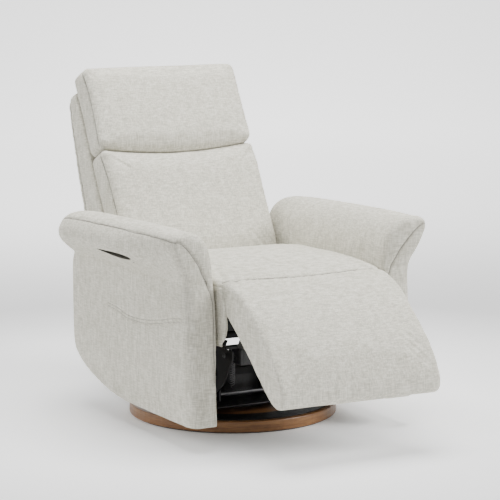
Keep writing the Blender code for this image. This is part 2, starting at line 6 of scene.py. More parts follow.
import json
import math

import bmesh
import bpy
import numpy as np
from mathutils import Matrix, Vector
from mathutils.bvhtree import BVHTree


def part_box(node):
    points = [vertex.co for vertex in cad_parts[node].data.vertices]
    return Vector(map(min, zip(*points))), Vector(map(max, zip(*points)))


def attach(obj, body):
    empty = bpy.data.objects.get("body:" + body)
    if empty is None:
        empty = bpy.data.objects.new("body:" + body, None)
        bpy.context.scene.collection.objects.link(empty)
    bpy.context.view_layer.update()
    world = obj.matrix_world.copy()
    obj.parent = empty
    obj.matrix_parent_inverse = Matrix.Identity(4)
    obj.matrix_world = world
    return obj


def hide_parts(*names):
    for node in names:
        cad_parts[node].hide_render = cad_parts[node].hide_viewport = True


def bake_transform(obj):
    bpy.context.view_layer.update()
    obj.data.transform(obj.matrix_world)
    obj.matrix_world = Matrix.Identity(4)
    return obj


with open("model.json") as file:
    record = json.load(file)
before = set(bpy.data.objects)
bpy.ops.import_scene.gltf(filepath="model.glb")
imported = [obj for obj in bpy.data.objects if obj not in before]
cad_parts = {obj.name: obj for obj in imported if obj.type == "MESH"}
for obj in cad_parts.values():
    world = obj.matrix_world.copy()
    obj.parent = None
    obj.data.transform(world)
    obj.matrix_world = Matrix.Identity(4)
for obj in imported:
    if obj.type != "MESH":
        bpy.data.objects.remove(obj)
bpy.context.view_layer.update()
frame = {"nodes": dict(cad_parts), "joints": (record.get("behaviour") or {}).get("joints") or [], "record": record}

NODES = frame["nodes"]
JOINTS = {joint["name"]: joint for joint in frame["joints"]}
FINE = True
SIDES = {"right": -1, "left": 1}
VOXEL = 0.005 if FINE else 0.009
CLOTH_FRAMES = 14

GROOVE_WIDTH = 0.0042  # of the fine groove that a seam makes
PULL, PULL_WIDTH = 0.0016, 0.014  # the shallow dip to both sides of a seam
PUCKER_REACH = 0.016
PAINTED_SEAM_SHADE, PAINTED_SEAM_SHADE_WIDTH = 0.34, 0.0032  # painted shade in a seam's groove: how dark the cloth is painted there, and over what width
HELD_WIDTH = 0.007  # of the strip that a seam holds while the cushion fills out

BACK_ANGLE = math.radians(28)
RECLINE_IN_BACK = Vector((0, 0.096, -0.030))  # the recline pivot in the back's own frame
FOOT_ANGLE = math.radians(50)
CREASE_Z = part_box("arm_side_right")[1][2]
ARM_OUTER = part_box("arm_side_left")[1][0]
ARM_FRONT, ARM_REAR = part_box("arm_side_left")[0][1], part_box("arm_side_left")[1][1]
ARM_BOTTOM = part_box("arm_side_left")[0][2]
FLARE_REAR = 0.305


# ------------------------------------------------------------------ frames of the tilted parts
def tilted(origin, angle):
    return Matrix.Translation(origin) @ Matrix.Rotation(-angle, 4, "X")


RECLINE_AT = Vector(JOINTS["recline"]["pos_m"])
BACK = tilted(RECLINE_AT - Matrix.Rotation(-BACK_ANGLE, 3, "X") @ RECLINE_IN_BACK, BACK_ANGLE)
FOOT_AT = Vector(JOINTS["footrest_swing"]["pos_m"])
FOOT = tilted(FOOT_AT, FOOT_ANGLE)


# ------------------------------------------------------------------ materials
def new_material(name):
    made = bpy.data.materials.new(name)
    made.use_nodes = True
    nodes, links = made.node_tree.nodes, made.node_tree.links
    return made, nodes, links, nodes["Principled BSDF"]


def noise_node(nodes, links, coords, stretch, scale, detail=2.0, rough=0.5):
    """Noise in object space, stretched by (x, y, z) factors."""
    mapping = nodes.new("ShaderNodeMapping")
    mapping.inputs["Scale"].default_value = stretch
    links.new(coords, mapping.inputs["Vector"])
    tex = nodes.new("ShaderNodeTexNoise")
    tex.inputs["Scale"].default_value = scale
    tex.inputs["Detail"].default_value = detail
    tex.inputs["Roughness"].default_value = rough
    links.new(mapping.outputs["Vector"], tex.inputs["Vector"])
    return tex.outputs["Fac"]


def blend_value(nodes, links, a, b, operation="ADD"):
    """The result of a math node on two sockets or numbers."""
    node = nodes.new("ShaderNodeMath")
    node.operation = operation
    for socket, value in zip(node.inputs, (a, b)):
        if isinstance(value, (int, float)):
            socket.default_value = value
        else:
            links.new(value, socket)
    return node.outputs[0]


def ramp(nodes, links, value, stops):
    node = nodes.new("ShaderNodeValToRGB")
    elements = node.color_ramp.elements
    while len(elements) < len(stops):
        elements.new(0.5)
    for element, (at, colour) in zip(elements, stops):
        element.position = at
        element.color = (*colour, 1)
    links.new(value, node.inputs["Fac"])
    return node.outputs["Color"]


def bump(nodes, links, shader, height, distance, strength):
    node = nodes.new("ShaderNodeBump")
    node.inputs["Distance"].default_value = distance
    node.inputs["Strength"].default_value = strength
    links.new(height, node.inputs["Height"])
    links.new(node.outputs["Normal"], shader.inputs["Normal"])


def fabric_material(name, dark, middle, light):
    """A slubby linen-like weave: long thick yarns down the cloth, short ones across, and soft shading, with
    painted shade darkening the cloth along its seams.
    """
    made, nodes, links, shader = new_material(name)
    coords = nodes.new("ShaderNodeTexCoord").outputs["Object"]
    slub = noise_node(nodes, links, coords, (1, 1, 0.09), 300, 2, 0.6)
    cross = noise_node(nodes, links, coords, (0.12, 0.12, 1), 420, 2, 0.6)
    cloud = noise_node(nodes, links, coords, (1, 1, 0.35), 60, 3, 0.65)
    yarns = blend_value(nodes, links, slub, cross, "ADD")
    mixed = blend_value(nodes, links, yarns, blend_value(nodes, links, cloud, 0.5, "MULTIPLY"), "ADD")
    tone = blend_value(nodes, links, mixed, 2.5, "DIVIDE")
    colour = ramp(nodes, links, tone, [(0.395, dark), (0.5, middle), (0.605, light)])
    # painted shade in the seams' grooves: the seam attribute mixes the colour towards 0.3 of the dark tone
    seam = nodes.new("ShaderNodeAttribute")
    seam.attribute_name = "seam"
    mix = nodes.new("ShaderNodeMix")
    mix.data_type = "RGBA"
    links.new(seam.outputs["Fac"], mix.inputs["Factor"])
    links.new(colour, mix.inputs["A"])
    mix.inputs["B"].default_value = (*(c * 0.30 for c in dark), 1)
    links.new(mix.outputs["Result"], shader.inputs["Base Color"])
    shader.inputs["Roughness"].default_value = 0.95
    shader.inputs["Sheen Weight"].default_value = 0.12
    shader.inputs["Sheen Tint"].default_value = (0.9, 0.86, 0.74, 1)
    shader.inputs["Sheen Roughness"].default_value = 0.5
    shader.inputs["Specular IOR Level"].default_value = 0.1
    bump(nodes, links, shader, yarns, 0.0006, 0.55)
    return made


def wood_material():
    """Walnut veneer whose grain runs round the base."""
    made, nodes, links, shader = new_material("walnut_veneer_look")
    coords = nodes.new("ShaderNodeTexCoord").outputs["Object"]
    grain = noise_node(nodes, links, coords, (1, 1, 16), 9, 6, 0.62)
    pores = noise_node(nodes, links, coords, (1, 1, 9), 70, 2, 0.7)
    both = blend_value(nodes, links, grain, blend_value(nodes, links, pores, 0.35, "MULTIPLY"), "ADD")
    tone = blend_value(nodes, links, both, 1.35, "DIVIDE")
    walnut = [(0.3, (0.10, 0.038, 0.011)), (0.5, (0.20, 0.088, 0.026)), (0.7, (0.32, 0.155, 0.052))]
    links.new(ramp(nodes, links, tone, walnut), shader.inputs["Base Color"])
    shader.inputs["Roughness"].default_value = 0.42
    shader.inputs["Coat Weight"].default_value = 0.15
    shader.inputs["Coat Roughness"].default_value = 0.3
    bump(nodes, links, shader, pores, 0.0002, 0.4)
    return made


def hard_material(name, colour, roughness, metallic=0.0, spread=0.3, scale=60):
    """Paint, steel or plastic with a little wear in its colour and gloss."""
    made, nodes, links, shader = new_material(name)
    coords = nodes.new("ShaderNodeTexCoord").outputs["Object"]
    wear = noise_node(nodes, links, coords, (1, 1, 1), scale, 4, 0.65)
    low = tuple(c * (1 - spread) for c in colour)
    high = tuple(min(1, c * (1 + spread)) for c in colour)
    links.new(ramp(nodes, links, wear, [(0.35, low), (0.65, high)]), shader.inputs["Base Color"])
    gloss = ramp(nodes, links, wear, [(0.3, (roughness * 0.8,) * 3), (0.7, (min(1, roughness * 1.25),) * 3)])
    links.new(gloss, shader.inputs["Roughness"])
    shader.inputs["Metallic"].default_value = metallic
    bump(nodes, links, shader, noise_node(nodes, links, coords, (1, 1, 1), 900, 1), 0.00008, 0.4)
    return made


THREAD = hard_material("stitch_thread_look", (0.24, 0.23, 0.20), 0.9, 0.0, 0.2, 300)
FABRIC = fabric_material("linen_weave_look", (0.43, 0.415, 0.345), (0.565, 0.545, 0.465), (0.70, 0.68, 0.60))
DUST_CLOTH = fabric_material("dust_cloth_look", (0.02, 0.02, 0.02), (0.035, 0.035, 0.035), (0.05, 0.05, 0.05))
# painted shade inside the control slot: cloth about four times darker than the cover, for the slot's cut walls
SLOT_WALL_PAINTED_SHADE = fabric_material("slot_wall_painted_shade_look", (0.11, 0.105, 0.09), (0.14, 0.135, 0.115),
                              (0.18, 0.172, 0.15))
WOOD = wood_material()
STEEL = hard_material("black_steel_look", (0.012, 0.012, 0.013), 0.38, 0.4)
ZINC = hard_material("zinc_steel_look", (0.16, 0.16, 0.165), 0.38, 0.9, 0.2)
PLASTIC = hard_material("dark_plastic_look", (0.03, 0.03, 0.032), 0.5, 0.0, 0.15, 30)
FELT = hard_material("grey_felt_look", (0.10, 0.10, 0.10), 0.95, 0.0, 0.3, 400)
NODE_LOOKS = {"walnut_veneer": WOOD, "black_steel": STEEL, "zinc_steel": ZINC, "dark_plastic": PLASTIC,
              "grey_felt": FELT, "plywood": DUST_CLOTH, "woven_fabric": FABRIC}


def dress_cad_nodes():
    """Every CAD node that stays visible gets its procedural material."""
    for part in frame["record"]["subparts"]:
        node = NODES[part["node"]]
        node.data.materials.clear()
        node.data.materials.append(NODE_LOOKS[part["material_slot"]])


# ------------------------------------------------------------------ mesh helpers
def mesh_piece(name, points, faces, material):
    mesh = bpy.data.meshes.new(name)
    mesh.from_pydata([tuple(p) for p in points], [], faces)
    mesh.update()
    obj = bpy.data.objects.new(name, mesh)
    bpy.context.scene.collection.objects.link(obj)
    obj.data.materials.append(material)
    return obj


def apply_modifiers(obj):
    graph = bpy.context.evaluated_depsgraph_get()
    mesh = bpy.data.meshes.new_from_object(obj.evaluated_get(graph))
    obj.modifiers.clear()
    old, obj.data = obj.data, mesh
    bpy.data.meshes.remove(old)
    return obj


def loft(name, rings, material):
    """A closed skin through rings of equal length, with flat ends."""
    count = len(rings[0])
    points = [p for ring in rings for p in ring]
    faces = []
    for i in range(len(rings) - 1):
        for j in range(count):
            k = (j + 1) % count
            faces.append((i * count + j, i * count + k, (i + 1) * count + k, (i + 1) * count + j))
    faces.append(tuple(reversed(range(count))))
    faces.append(tuple(range((len(rings) - 1) * count, len(rings) * count)))
    obj = mesh_piece(name, points, faces, material)
    shape = bmesh.new()
    shape.from_mesh(obj.data)
    bmesh.ops.recalc_face_normals(shape, faces=shape.faces)
    shape.to_mesh(obj.data)
    shape.free()
    return obj


def smooth_ring(points, corners=(), per=6):
    """A closed curve through 2-D points, with corners kept at the points whose indices are given."""
    points = [Vector(p) for p in points]
    count = len(points)
    out = []
    for i, point in enumerate(points):
        following = points[(i + 1) % count]
        before = point if i in corners else points[i - 1]
        after = following if (i + 1) % count in corners else points[(i + 2) % count]
        for step in range(per):
            t = step / per
            tangent_in, tangent_out = (following - before) / 2, (after - point) / 2
            h = (2 * t**3 - 3 * t**2 + 1, t**3 - 2 * t**2 + t, -2 * t**3 + 3 * t**2, t**3 - t**2)
            out.append(h[0] * point + h[1] * tangent_in + h[2] * following + h[3] * tangent_out)
    return out


def polyline(points, spacing=0.004):
    """The same path with evenly spaced points, as an array."""
    points = np.array([tuple(p) for p in points], float)
    steps = np.linalg.norm(np.diff(points, axis=0), axis=1)
    along = np.concatenate([[0], np.cumsum(steps)])
    count = max(2, int(along[-1] / spacing))
    at = np.linspace(0, along[-1], count)
    return np.stack([np.interp(at, along, points[:, i]) for i in range(3)], axis=1)


def curve_through(points, per=8):
    """An open smooth path through 3-D points."""
    points = [Vector(p) for p in points]
    out = []
    for i in range(len(points) - 1):
        a, b = points[max(i - 1, 0)], points[i]
        c, d = points[i + 1], points[min(i + 2, len(points) - 1)]
        for step in range(per):
            t = step / per
            square, cube = 2 * a - 5 * b + 4 * c - d, 3 * b - a - 3 * c + d
            out.append(0.5 * ((2 * b) + (c - a) * t + square * t**2 + cube * t**3))
    return out + [points[-1]]


def distances(where, path):
    """Each point's distance to a path, and how far along the path its nearest point is."""
    best = np.full(len(where), 1e9)
    along = np.zeros(len(where))
    travelled = 0.0
    for a, b in zip(path[:-1], path[1:]):
        step = b - a
        length = np.linalg.norm(step)
        near = np.abs(where - a).max(axis=1) < 0.09
        local = where[near] - a
        t = np.clip(local @ step / (length * length), 0, 1)
        gap = np.linalg.norm(local - t[:, None] * step, axis=1)
        closer = gap < best[near]
        chosen = np.flatnonzero(near)[closer]
        best[chosen] = gap[closer]
        along[chosen] = travelled + t[closer] * length
        travelled += length
    return best, along


def bell(gap, width):
    """A value that falls smoothly from 1 at no distance to nearly 0 at twice the width."""
    return np.exp(-((gap / width) ** 2))


def ripples(along, seed):
    """Small uneven waves along a seam."""
    waves = ((0.046, 1.0), (0.029, 0.8), (0.019, 0.6), (0.013, 0.35))
    return sum(size * np.sin(2 * math.pi * along / length + seed * (i + 1.7))
               for i, (length, size) in enumerate(waves)) / 2


def unevenness(where, seed):
    """Low swells of the filling under the cloth, from a few fixed waves."""
    draw = np.random.default_rng(seed)
    total = np.zeros(len(where))
    for length in (0.34, 0.22, 0.15, 0.11, 0.08, 0.06):
        direction = draw.normal(size=3)
        direction /= np.linalg.norm(direction)
        total += length * np.sin(where @ direction * 2 * math.pi / length + draw.uniform(0, 6.28))
    return total / 0.5


def vertex_arrays(mesh):
    where = np.empty(len(mesh.vertices) * 3)
    mesh.vertices.foreach_get("co", where)
    normals = np.empty(len(mesh.vertices) * 3)
    mesh.vertex_normals.foreach_get("vector", normals)
    return where.reshape(-1, 3), normals.reshape(-1, 3)


def onto_surface(mesh, path, sink=0.0):
    """The path moved to the nearest points of a mesh, and sunk a little below them."""
    tree = BVHTree.FromPolygons([v.co for v in mesh.vertices], [f.vertices for f in mesh.polygons])
    out = []
    for point in path:
        spot, normal = tree.find_nearest(Vector(point))[:2]
        out.append(tuple(spot - normal * sink))
    return np.array(out)


def eased(path, rounds=4):
    """The path with small kinks smoothed away."""
    path = np.array(path)
    for _ in range(rounds):
        path[1:-1] = (path[:-2] + 2 * path[1:-1] + path[2:]) / 4
    return path


def as_mesh_object(curve, parent=None):
    """A mesh object made from a curve, and made the child of the given parent."""
    shown = bpy.data.objects.new(curve.name, curve)
    bpy.context.scene.collection.objects.link(shown)
    graph = bpy.context.evaluated_depsgraph_get()
    mesh = bpy.data.meshes.new_from_object(shown.evaluated_get(graph))
    bpy.data.objects.remove(shown)
    obj = bpy.data.objects.new(curve.name, mesh)
    bpy.context.scene.collection.objects.link(obj)
    obj.parent = parent
    mesh.shade_smooth()
    return obj


def round_curve(name, points, radius, resolution, material):
    """A round line through the points."""
    curve = bpy.data.curves.new(name, "CURVE")
    curve.dimensions = "3D"
    curve.bevel_depth = radius
    curve.bevel_resolution = resolution
    spline = curve.splines.new("POLY")
    spline.points.add(len(points) - 1)
    for slot, point in zip(spline.points, points):
        slot.co = (*point, 1)
    curve.materials.append(material)
    return curve


def thread(cover, path, radius=0.0009, sink=0.0):
    """The line of stitches that shows in a seam: a fine tube that lies in the groove of its cover."""
    points = eased(onto_surface(cover.data, eased(path), sink))[::2]
    return as_mesh_object(round_curve(f"{cover.name}_stitch", points, radius, 1, THREAD), cover)


def fill_out(obj, seams, front, cap):
    """Lets the cover swell under pressure as cloth, held at its seams.

    Nothing moves further than cap, and what faces away from front doesn't move at all.
    """
    mesh = obj.data
    before, normals = vertex_arrays(mesh)
    tight = obj.vertex_groups.new(name="tight")
    gap = np.full(len(before), 1.0)
    for path in seams:
        gap = np.minimum(gap, distances(before, polyline(path))[0])
    facing = np.clip((normals @ np.array(tuple(front)) + 0.25) / 0.6, 0, 1)
    held = np.maximum(bell(gap, HELD_WIDTH), 1 - facing)
    for level in range(1, 11):
        members = np.flatnonzero(np.ceil(held * 10) == level)
        if len(members):
            tight.add(members.tolist(), level / 10, "REPLACE")
    cloth = obj.modifiers.new("fill", "CLOTH")
    settings = cloth.settings
    settings.quality = 4
    settings.mass = 0.2
    settings.tension_stiffness = settings.compression_stiffness = 12
    settings.shear_stiffness = 6
    settings.bending_stiffness = 0.4
    settings.use_pressure = True
    settings.uniform_pressure_force = 4
    settings.effector_weights.gravity = 0
    settings.vertex_group_mass = tight.name
    cloth.point_cache.frame_start, cloth.point_cache.frame_end = 1, CLOTH_FRAMES
    for number in range(1, CLOTH_FRAMES + 1):
        bpy.context.scene.frame_set(number)
    graph = bpy.context.evaluated_depsgraph_get()
    swollen = obj.evaluated_get(graph).to_mesh()
    after = np.empty(len(before) * 3)
    swollen.vertices.foreach_get("co", after)
    obj.evaluated_get(graph).to_mesh_clear()
    obj.modifiers.clear()
    obj.vertex_groups.clear()
    bpy.context.scene.frame_set(1)
    step = after.reshape(-1, 3) - before
    length = np.linalg.norm(step, axis=1)
    share = cap * np.tanh(length / cap) / np.maximum(length, 1e-9)
    mesh.vertices.foreach_set("co", (before + step * share[:, None]).ravel())
    mesh.update()


def upholster(obj, seams=(), shape=None, relax=4, swell=0.0008, seed=1, groove=0.0035, pucker=0.0012,
              folds=(), front=None, cap=0.005):
    """Turns a plain closed solid into a soft covered one, and returns the paths of its seams.

    The solid is remeshed evenly and relaxed, shape(points) bends it, and where front is given it fills
    out as cloth. Then each seam path pulls the cover in along a fine groove with small puckers beside
    it, and each fold, as (path, depth, width), presses a soft crease without stitches.
    """
    remesh = obj.modifiers.new("remesh", "REMESH")
    remesh.mode = "VOXEL"
    remesh.voxel_size = VOXEL
    smooth = obj.modifiers.new("relax", "SMOOTH")
    smooth.factor = 0.5
    smooth.iterations = relax
    apply_modifiers(obj)
    if shape is not None:
        where = shape(vertex_arrays(obj.data)[0])
        obj.data.vertices.foreach_set("co", where.ravel())
        obj.data.update()
    if FINE and front is not None:
        fill_out(obj, seams, front, cap)
    if FINE:
        finer = obj.modifiers.new("finer", "SUBSURF")
        finer.levels = finer.render_levels = 1
        apply_modifiers(obj)
    mesh = obj.data
    where, normals = vertex_arrays(mesh)
    move = swell * unevenness(where, seed)
    # painted shade along the seams: how much each point's colour is darkened, kept in the seam attribute
    painted_seam_shade = np.zeros(len(where))
    paths = [eased(onto_surface(mesh, polyline(path))) for path in seams]
    for index, path in enumerate(paths):
        gap, along = distances(where, path)
        move -= groove * bell(gap, GROOVE_WIDTH) + PULL * bell(gap, PULL_WIDTH)
        move += pucker * np.exp(-gap / PUCKER_REACH) * ripples(along, seed + index)
        painted_seam_shade = np.maximum(painted_seam_shade, PAINTED_SEAM_SHADE * bell(gap, PAINTED_SEAM_SHADE_WIDTH))
    for path, depth, width in folds:
        gap = distances(where, eased(onto_surface(mesh, polyline(path))))[0]
        move -= depth * bell(gap, width)
    where = where + normals * move[:, None]
    mesh.vertices.foreach_set("co", where.ravel())
    attribute = mesh.attributes.new("seam", "FLOAT", "POINT")
    attribute.data.foreach_set("value", painted_seam_shade)
    mesh.update()
    mesh.shade_smooth()
    return paths


def finish_soft(obj, body, nodes, paths=()):
    for path in paths:
        thread(obj, path)
    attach(obj, body)
    if nodes:
        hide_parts(*nodes)
    return obj


def rounded_block(name, low, high, radius, material, matrix=None, segments=4):
    """A block with rounded edges, in the frame of the matrix."""
    low, high = Vector(low), Vector(high)
    bpy.ops.mesh.primitive_cube_add(size=1)
    obj = bpy.context.object
    obj.name = name
    obj.data.transform(Matrix.Translation((low + high) / 2) @ Matrix.Diagonal((*(high - low), 1)))
    made = obj.modifiers.new("bevel", "BEVEL")
    made.width, made.segments = radius, segments
    apply_modifiers(obj)
    if matrix is not None:
        obj.data.transform(matrix)
    obj.data.materials.clear()
    obj.data.materials.append(material)
    return obj


def into(matrix, where):
    """Points in the matrix's own frame."""
    inverse = np.array(matrix.inverted())
    return where @ inverse[:3, :3].T + inverse[:3, 3]


def out_of(matrix, where):
    full = np.array(matrix)
    return where @ full[:3, :3].T + full[:3, 3]


# ------------------------------------------------------------------ arms
def arm_front_y(z):
    """The arm's front face: it leans back up to the crease and forward again above it."""
    return np.interp(z, (ARM_BOTTOM, CREASE_Z, 0.60), (ARM_FRONT, -0.395, -0.418))


def arm_bottom_z(y, sign):
    """The underside of the arm, which sweeps up towards the rear. Its front corner is eased on the left."""
    heights = ((-1, 0.069), (0.011, 0.070), (0.077, 0.078), (0.145, 0.093), (0.214, 0.112), (0.284, 0.140),
               (0.319, 0.166), (0.336, 0.195), (0.342, 0.225))
    eased_corner = 0.010 * np.clip((-0.15 - y) / 0.2, 0, 1) + 0.022 * np.clip((-0.385 - y) / 0.05, 0, 1) ** 2
    return np.interp(y, *zip(*heights)) + (eased_corner if sign > 0 else 0)


def arm_crest_gain(y):
    """How high the padded top stands at y, as a share of its full height."""
    shares = ((-0.42, 0.955), (-0.36, 0.985), (-0.27, 1.0), (-0.10, 0.99), (0.05, 0.965), (0.20, 0.93),
              (0.30, 0.87))
    return np.interp(y, *zip(*shares))


OUTER_SIDE = [(0.364, 0.150), (0.364, 0.300), (0.364, 0.420), (0.364, 0.463)]
FLARE = [(0.386, 0.480), (0.411, 0.499), (0.428, 0.523), (0.431, 0.552), (0.416, 0.586)]
FLARE_AT_FRONT = [(0.370, 0.482), (0.382, 0.503), (0.394, 0.527), (0.403, 0.553), (0.408, 0.584)]
PAD = [(0.396, 0.598), (0.362, 0.604), (0.325, 0.597), (0.297, 0.574), (0.279, 0.537), (0.269, 0.490),
       (0.265, 0.430), (0.265, 0.380), (0.266, 0.330), (0.270, 0.250), (0.276, 0.190)]
PAD_AT_FRONT = [(0.393, 0.583), (0.377, 0.574), (0.353, 0.549), (0.331, 0.523), (0.313, 0.494),
                (0.299, 0.466), (0.285, 0.435), (0.278, 0.405), (0.280, 0.330), (0.283, 0.250),
                (0.285, 0.190)]
TIP = len(OUTER_SIDE) + len(FLARE)  # index of the tip in a section that starts with the bottom corner
CREASE = len(OUTER_SIDE)  # index of the crease below the flare
PER_POINT = 5  # ring points made for each point of a section


def arm_section(sign, share):
    """One ring of the arm. share runs from 0 at the rear to 1 at the front face."""
    length = 0.75
    spine = 0.35  # the arm's middle line
    from_front, from_rear = (1 - share) * length, share * length
    corner = 0.036
    shrink = corner - math.sqrt(max(0, corner**2 - max(0, corner - from_front) ** 2))
    heel = 0.020
    shrink += heel - math.sqrt(max(0, heel**2 - max(0, heel - from_rear) ** 2))
    pad_round = 0.034
    drop = 1 - math.sqrt(max(0, 1 - max(0, 1 - from_front / pad_round) ** 2))
    flare_rear = 0.045
    curl = 1 - math.sqrt(max(0, 1 - max(0, 1 - from_rear / flare_rear) ** 2))

    def placed(x, z, is_pad=False):
        rear = ARM_REAR if z < CREASE_Z - 0.01 else FLARE_REAR if z > CREASE_Z + 0.03 else 0.325
        y = float(rear + (arm_front_y(z) - rear) * share)
        if z > CREASE_Z:
            gain = arm_crest_gain(y) if drop == 0 or not is_pad else 1
            z = CREASE_Z + (z - CREASE_Z) * gain * (1 - 0.22 * curl)
            x = spine + (x - spine) * (1 - 0.30 * curl)
        return Vector((x, y, z))

    openness = min(1.0, max(0.0, (share - 0.55) / 0.40))
    openness = openness * openness * (3 - 2 * openness)
    flare = [tuple(Vector(a).lerp(Vector(b), openness)) for a, b in zip(FLARE, FLARE_AT_FRONT)]
    outer = []
    for x, z in OUTER_SIDE + flare:
        less = shrink * (0.1 if z > 0.575 else 0.45 if z > CREASE_Z else 0.9)
        outer.append(placed(x - less, z))
    pad = []
    for full, seam in zip(PAD, PAD_AT_FRONT):
        x, z = Vector(full).lerp(Vector(seam), drop)
        pad.append(placed(x, z, True))
    floor_inner, floor_outer = pad[-1].copy(), outer[0].copy()
    floor_inner.x, floor_outer.x = 0.284 if drop > 0.5 else 0.280, outer[0].x - 0.003
    for corner_point in (floor_inner, floor_outer):
        corner_point.y = float(ARM_REAR + (ARM_FRONT - ARM_REAR) * share)
        corner_point.z = float(arm_bottom_z(corner_point.y, sign))
    for point in (outer[0], pad[-1]):
        point.z = max(point.z, floor_outer.z + 0.04)
    ring = [floor_outer] + outer + pad + [floor_inner]
    corners = (0, CREASE, TIP, len(ring) - 1)
    smooth = smooth_ring(ring, corners, PER_POINT)
    return [(sign * p.x, p.y, p.z) for p in smooth]


def arm_shares():
    """Stations from rear to front, closer together where the ends round over."""
    ends = [0.0, 0.002, 0.006, 0.012, 0.02, 0.03, 0.045, 0.06]
    middle = [0.06 + 0.88 * i / 30 for i in range(1, 30)]
    return ends + middle + [1 - e for e in reversed(ends)]


def arm_seams(sign):
    """The tip seam along the flare, and the seam round the front face."""
    paths = []
    stations = [i / 24 for i in range(1, 25)]
    rings = [arm_section(sign, share) for share in stations]
    paths.append([ring[PER_POINT * TIP] for ring in rings])
    front = arm_section(sign, 1.0)
    paths.append(front[PER_POINT * TIP: PER_POINT * (TIP + len(PAD)) + 1])
    return paths


def arm_folds(sign):
    """The soft folds, as (path, depth, width): under the flare, and across the front below it."""
    front = arm_section(sign, 1.0)
    corner = PER_POINT * CREASE
    across = front[corner - 3: corner + 1] + [(sign * 0.300, arm_front_y(CREASE_Z), CREASE_Z)]
    below_flare = [arm_section(sign, i / 24)[PER_POINT * CREASE] for i in range(1, 21)]
    return [(below_flare, 0.0022, 0.007), (across, 0.0018, 0.005)]


def build_arm(side):
    sign = SIDES[side]
    rings = [arm_section(sign, share) for share in arm_shares()]
    obj = loft(f"arm_upholstery_{side}", rings, FABRIC)
    folds = arm_folds(sign)
    if side == "right":
        folds += [(path, 0.0022, 0.0032) for path in pocket_seams()]
    paths = upholster(obj, arm_seams(sign), relax=3, seed=3 + sign, swell=0.0005, groove=0.0026,
                      pucker=0.0006, folds=folds)
    if side == "right":
        for path in pocket_seams():
            thread(obj, onto_surface(obj.data, polyline(path)), 0.0006, 0.0002)
        cut_control_slot(obj)
    nodes = [f"arm_side_{side}", f"arm_pad_{side}", f"arm_top_{side}"]
    if side == "right":
        nodes.append("side_pocket")
    return finish_soft(obj, "seat_frame", nodes, paths)


def pocket_seams():
    """Two stitched lines where the side pocket's mouth is sewn to the arm."""
    hem = [(0.092, 0.342), (0.052, 0.339), (0.019, 0.336), (-0.046, 0.325), (-0.136, 0.327), (-0.230, 0.340),
           (-0.309, 0.356), (-0.386, 0.368)]
    x = -ARM_OUTER
    upper = curve_through([(x, y, z) for y, z in hem])
    return [upper, [(p[0], p[1], p[2] - 0.009) for p in upper]]


SLOT_HALF_HEIGHT = 0.0108
SLOT_RISE = 0.003  # from the slot's front to its rear
SLOT_THINNING = 0.78  # the share of its height that it loses on the way


def slot_outline():
    """The lens-shaped mouth of the control slot, as (y, z): rounded at the front, thin at the rear."""
    low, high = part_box("control_housing")
    middle = (low[2] + high[2]) / 2
    front, rear = low[1] + 0.002, high[1] + 0.022
    points = []
    for i in range(24):
        t = i / 24 * 2 * math.pi
        y = (front + rear) / 2 - math.cos(t) * (rear - front) / 2
        along = (y - front) / (rear - front)
        half = SLOT_HALF_HEIGHT * (1 - SLOT_THINNING * along)
        points.append((y, middle + SLOT_RISE * along + math.sin(t) * half))
    return points


def cut_control_slot(obj):
    """Opens the slot through the flare down to the housing of the push buttons."""
    low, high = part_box("control_housing")
    rings = [[(x, y, z) for y, z in slot_outline()] for x in (low[0] - 0.06, high[0] + 0.002)]
    # the cutter passes its painted-shade cloth on to the walls of the slot
    cutter = loft("slot_cutter", rings, SLOT_WALL_PAINTED_SHADE)
    made = obj.modifiers.new("slot", "BOOLEAN")
    made.operation = "DIFFERENCE"
    made.material_mode = "TRANSFER"
    made.object = cutter
    apply_modifiers(obj)
    bpy.data.objects.remove(cutter)
    obj.data.shade_smooth()
    obj.data.set_sharp_from_angle(angle=math.radians(60))


# ------------------------------------------------------------------ back
BACK_HALF = 0.258
BACK_FRONT = BACK.to_3x3() @ Vector((0, -1, 0))
HEAD_SEAM = 0.388  # height of the seam between back cushion and headrest at their sides
HEAD_SAG = 0.026  # how much lower it runs in the middle
HEAD_TOP = 0.654
CROWN_DEPTH = 0.07  # how deep behind its front face a cushion still takes the crown


def seam_height(x):
    return HEAD_SEAM - HEAD_SAG * (1 - (np.asarray(x) / BACK_HALF) ** 2)


def back_path(points):
    return [tuple(BACK @ Vector(p)) for p in points]


def side_seams(points):
    """The seam at each side edge of a back part, through (depth, height) points."""
    edge = BACK_HALF - 0.002
    return [back_path(curve_through([(sign * edge, y, z) for y, z in points])) for sign in (-1, 1)]


def cushion_shape(crown, centre, reach, power, sagging, pushed_back):
    """The shaping of a back cushion, whose front is crowned about a height and sags with the seam.

    sagging(z) is how far a height follows the seam, from 0 to 1, and pushed_back(z) how far it is drawn in.
    """
    def shape(where):
        x, y, z = into(BACK, where).T
        frontness = np.clip((CROWN_DEPTH - y) / CROWN_DEPTH, 0, 1)
        across = np.sqrt(np.clip(1 - (x / BACK_HALF) ** 2, 0, 1))
        upward = np.clip(1 - ((z - centre) / reach) ** 2, 0, 1) ** power
        z = z + (seam_height(x) - HEAD_SEAM) * sagging(z)
        y = y + (pushed_back(z) - crown * across * upward) * frontness
        return out_of(BACK, np.stack([x, y, z], axis=1))

    return shape


